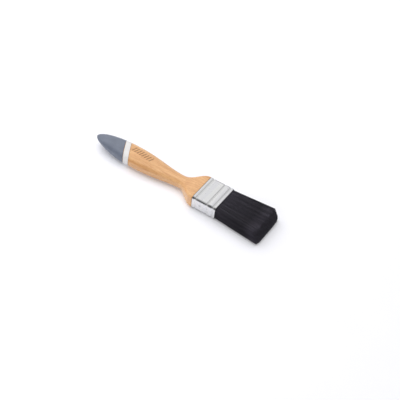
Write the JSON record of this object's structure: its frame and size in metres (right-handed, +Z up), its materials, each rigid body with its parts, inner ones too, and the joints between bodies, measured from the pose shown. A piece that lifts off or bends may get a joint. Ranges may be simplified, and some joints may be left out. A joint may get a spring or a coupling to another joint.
{
  "type": "flat paint brush",
  "caption": "Flat paint brush with a shaped wooden handle, dipped tail, beaded metal ferrule and black filament.",
  "frame": {"origin": "centre of the brush's bounding box in X and Y, on the surface that it lies on", "axes": "+X from the tail of the handle to the toe of the filament, +Y across the width, +Z up through the thickness"},
  "size_m": [0.216, 0.0452, 0.016],
  "materials": {
    "beech": "clear satin lacquer",
    "grey_lacquer": "dipped satin lacquer",
    "white_lacquer": "satin lacquer",
    "ferrule_metal": "bright plated sheet",
    "nail_steel": "plated",
    "resin": "cast",
    "spacer_board": "raw",
    "filament": "tapered synthetic filament"
  },
  "bodies": {
    "root": {"handle": "beech", "tail_dip_coat": "grey_lacquer", "white_band_coat": "white_lacquer", "ferrule": "ferrule_metal", "ferrule_nail_far": "nail_steel", "ferrule_nail_near": "nail_steel", "resin_block": "resin", "spacer_upper": "spacer_board", "spacer_lower": "spacer_board", "filament_upper": "filament", "filament_middle": "filament", "filament_lower": "filament"}
  },
  "joints": []
}
